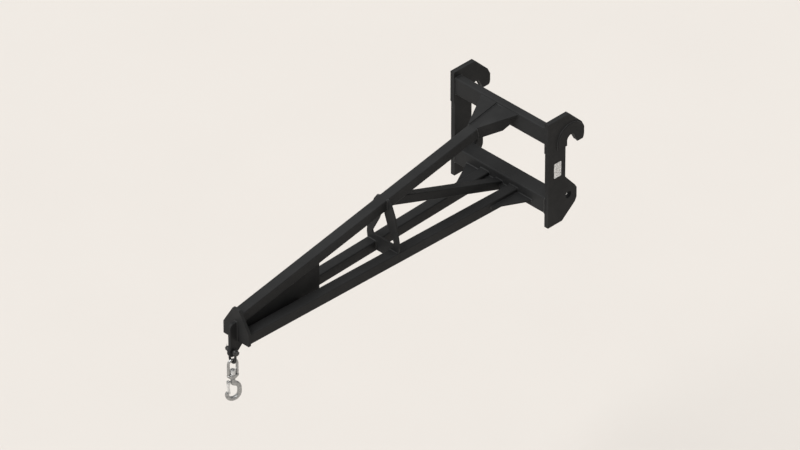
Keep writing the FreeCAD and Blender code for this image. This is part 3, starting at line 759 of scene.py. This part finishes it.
def add_shank_nut(swing):
    """Castellated round nut and its hardened washer on the shank."""
    up = Vector((0, 0, 1))
    line = Vector((swing.x, 0, 0))
    foot = RING_BASE_TOP_Z + SWIVEL_GAP + WASHER_HEIGHT
    shape = Shape()
    body = [
        (0.0101, 0.0005), (0.0112, 0.0001), (0.0164, 0.0001), (0.0179, 0.0016), (0.0179, 0.0110),
        (0.0174, 0.0116), (0.0174, 0.0128), (0.0179, 0.0134), (0.0179, 0.0278), (0.0164, 0.0299),
        (0.0112, 0.0299), (0.0101, 0.0290),
    ]
    shape.turned(line + up * foot, up, body, 48)
    piece = make_piece("shank_nut_turned", shape.verts, shape.faces, zinc_plate, "hook")
    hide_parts("shank_nut")
    ring = Shape()
    washer = [
        (0.0101, 0.0001), (0.0170, 0.0001), (0.0174, 0.0005), (0.0174, 0.0023), (0.0170, 0.0027),
        (0.0101, 0.0027),
    ]
    ring.turned(line + up * (RING_BASE_TOP_Z + SWIVEL_GAP), up, washer, 48)
    piece = make_piece("thrust_washer_turned", ring.verts, ring.faces, zinc_plate, "hook")
    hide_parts("thrust_washer")


def smooth_outline(points, steps=5):
    """A closed outline eased through its points."""
    eased = []
    count = len(points)
    for i in range(count):
        p0, p1, p2, p3 = (Vector(points[(i + k) % count]) for k in (-1, 0, 1, 2))
        for step in range(steps):
            t = step / steps
            slope_in, slope_out = (p2 - p0) * 0.36, (p3 - p1) * 0.36
            eased.append(p1 * (2 * t ** 3 - 3 * t ** 2 + 1) + slope_in * (t ** 3 - 2 * t ** 2 + t)
                         + p2 * (3 * t ** 2 - 2 * t ** 3) + slope_out * (t ** 3 - t ** 2))
    return eased


def add_latch(swing):
    """Folded sheet latch: two eased cheeks joined by an outer web."""
    across, through, up = hook_axes()
    origin = Vector((swing.x, 0, BOWL_Z))
    shape = Shape()

    def plate(outline, levels):
        rings = []
        middle = sum((Vector(p) for p in outline), Vector((0, 0))) / len(outline)
        for level, inset in levels:
            ring = []
            for spot in outline:
                eased = Vector(spot)
                eased += (middle - eased).normalized() * inset
                ring.append(origin + (across * eased.x + up * eased.y + through * level) / 1000)
            rings.append(ring)
        shape.rings(rings)

    cheek = [
        (20.5, 80), (22, 89.5), (28, 92.6), (34.5, 91.4), (38.2, 85.5), (38.2, 70), (36.6, 48),
        (33, 28), (29, 9), (28, 3), (25, 2.2), (22.4, 4), (21.6, 18), (24.2, 38), (25.8, 56),
        (24, 70),
    ]
    for side in (-1, 1):
        levels = ((10.5, 0.5), (10.9, 0.1), (12.5, 0.1), (12.95, 0.6))
        plate(smooth_outline(cheek), [(side * level, inset) for level, inset in levels])
    outer = [(38.1, 74), (38.1, 68), (36.5, 46), (34.8, 36), (32.4, 24), (29.0, 9), (28.2, 3)]
    web = outer + [(x - 2.4, z + 0.2) for x, z in reversed(outer)]
    plate(web, ((-11.5, 0.0), (11.5, 0.0)))
    piece = make_piece("latch_folded", shape.verts, shape.faces, pressed_sheet, "latch")
    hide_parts("latch")


def add_latch_spring(swing):
    """Two wire coils of the torsion spring, one each side of the boss."""
    across, through, up = hook_axes()
    pin = Vector((swing.x, 0, BOWL_Z)) + across * LATCH_PIN_ACROSS + up * LATCH_PIN_UP
    shape = Shape()
    wire = 0.00062
    for side in (-1, 1):
        near, far = 0.0063 + wire, 0.0102 - wire
        turns = 3
        steps = 32 * turns
        path = []
        for i in range(steps + 1):
            angle = 2 * math.pi * turns * i / steps
            out = (across * math.cos(angle) + up * math.sin(angle)) * 0.0060
            path.append(pin + out + through * side * (near + (far - near) * i / steps))
        shape.sweep(path, wire, count=8)
    piece = make_piece("latch_spring_coils", shape.verts, shape.faces, zinc_plate, "hook")
    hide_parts("latch_spring")


# ---- rating plate --------------------------------------------------------------
def add_data_plate():
    """Blank rating plate with rounded corners and a raised border."""
    low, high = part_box("data_plate")
    shape = Shape()

    def outline(inset, y, radius):
        points = []
        corners = (
            (high.x, high.z, 0), (low.x, high.z, 90), (low.x, low.z, 180), (high.x, low.z, 270),
        )
        for cx, cz, start in corners:
            mx = cx - math.copysign(inset + radius, cx - (low.x + high.x) / 2)
            mz = cz - math.copysign(inset + radius, cz - (low.z + high.z) / 2)
            for k in range(7):
                angle = math.radians(start + 15 * k)
                points.append(Vector((mx + radius * math.cos(angle), y, mz + radius * math.sin(angle))))
        return points

    base = low.y
    top = high.y
    rings = [
        outline(0.0, base, 0.006), outline(0.0, top - 0.0004, 0.006), outline(0.0004, top, 0.006),
        outline(0.0110, top, 0.003), outline(0.0115, top - 0.0004, 0.003),
        outline(0.0122, top - 0.0004, 0.003), outline(0.0127, top, 0.003),
    ]
    shape.rings(rings)
    piece = make_piece("data_plate_blank", shape.verts, shape.faces, plate_metal, "frame")
    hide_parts("data_plate")


def soften_nodes():
    """Rounds the sharp rims of every visible CAD node."""
    widths = {name: 0.0022 for name in TUBE_NODES}
    widths.update({name: 0.0018 for name in PLATE_NODES})
    widths["latch_pin"] = 0.0004
    widths["data_plate_rivets"] = 0.0004
    for name, width in widths.items():
        node = NODES[name]
        bevel = node.modifiers.new("soft_rim", "BEVEL")
        bevel.width = width
        bevel.segments = 2
        bevel.limit_method = "ANGLE"
        bevel.angle_limit = math.radians(35)
        bevel.harden_normals = False
        for face in node.data.polygons:
            face.use_smooth = True
        normals = node.modifiers.new("flat_faces", "WEIGHTED_NORMAL")
        normals.keep_sharp = True


def add_pieces():
    """Every finished piece of the object."""
    swing = Vector(JOINTS["shackle_swing"]["pos_m"])
    weld_beads()
    add_bolt(swing)
    add_nut(swing)
    add_split_pin(swing)
    add_shackle(swing)
    add_swivel_eye(swing)
    add_hook(swing)
    add_shank_nut(swing)
    add_latch(swing)
    add_latch_spring(swing)
    add_data_plate()


# ---- studio --------------------------------------------------------------------
VIEW_WIDTH = 4.88              # metres across the picture
VIEW_AIM = Vector((1.0536, 0.0, -0.3329))
LENS = 400.0
FLOOR_DROP = 2.5               # the jib hangs, so the floor is well below it
SENSOR = 36.0


def studio():
    """Floor, soft lights and the long-lens isometric camera."""
    floor_z = cad_bounds[0][2] - FLOOR_DROP
    bpy.ops.mesh.primitive_plane_add(size=160, location=(1.0, 0, floor_z))
    floor = bpy.context.object
    floor.name = "studio_floor"
    floor.data.materials.append(material(floor_paper))

    world = bpy.data.worlds.new("studio_world")
    world.use_nodes = True
    background = world.node_tree.nodes["Background"]
    tree = world.node_tree
    heading = tree.nodes.new("ShaderNodeTexCoord")
    toward_light = tree.nodes.new("ShaderNodeVectorMath")
    toward_light.operation = "DOT_PRODUCT"
    toward_light.inputs[1].default_value = (0.60, -0.52, 0.61)
    fade = tree.nodes.new("ShaderNodeValToRGB")
    fade.color_ramp.elements[0].position = 0.0
    fade.color_ramp.elements[0].color = (0.40, 0.39, 0.38, 1)
    fade.color_ramp.elements[1].position = 0.85
    fade.color_ramp.elements[1].color = (0.90, 0.89, 0.87, 1)
    tree.links.new(heading.outputs["Generated"], toward_light.inputs[0])
    tree.links.new(toward_light.outputs["Value"], fade.inputs["Fac"])
    tree.links.new(fade.outputs["Color"], background.inputs["Color"])
    background.inputs["Strength"].default_value = 1.0
    bpy.context.scene.world = world
    bpy.context.scene.view_settings.view_transform = "Standard"

    def sun(name, toward, strength, spread):
        light = bpy.data.lights.new(name, "SUN")
        light.energy = strength
        light.angle = math.radians(spread)
        holder = bpy.data.objects.new(name, light)
        holder.rotation_euler = Vector(toward).to_track_quat("Z", "Y").to_euler()
        bpy.context.collection.objects.link(holder)

    sun("key", (0.62, -0.15, 0.85), 2.2, 35)
    sun("top", (-0.1, 0.1, 1.0), 0.6, 50)

    camera = bpy.data.cameras.new("camera")
    camera.lens = LENS
    camera.sensor_width = SENSOR
    distance = VIEW_WIDTH * LENS / SENSOR
    camera.clip_end = 4 * distance
    holder = bpy.data.objects.new("camera", camera)
    toward = Vector((1, 1, 1)).normalized()
    holder.location = VIEW_AIM + toward * distance
    holder.rotation_euler = toward.to_track_quat("Z", "Y").to_euler()
    bpy.context.collection.objects.link(holder)
    bpy.context.scene.camera = holder


dress_nodes()
soften_nodes()
add_pieces()
studio()
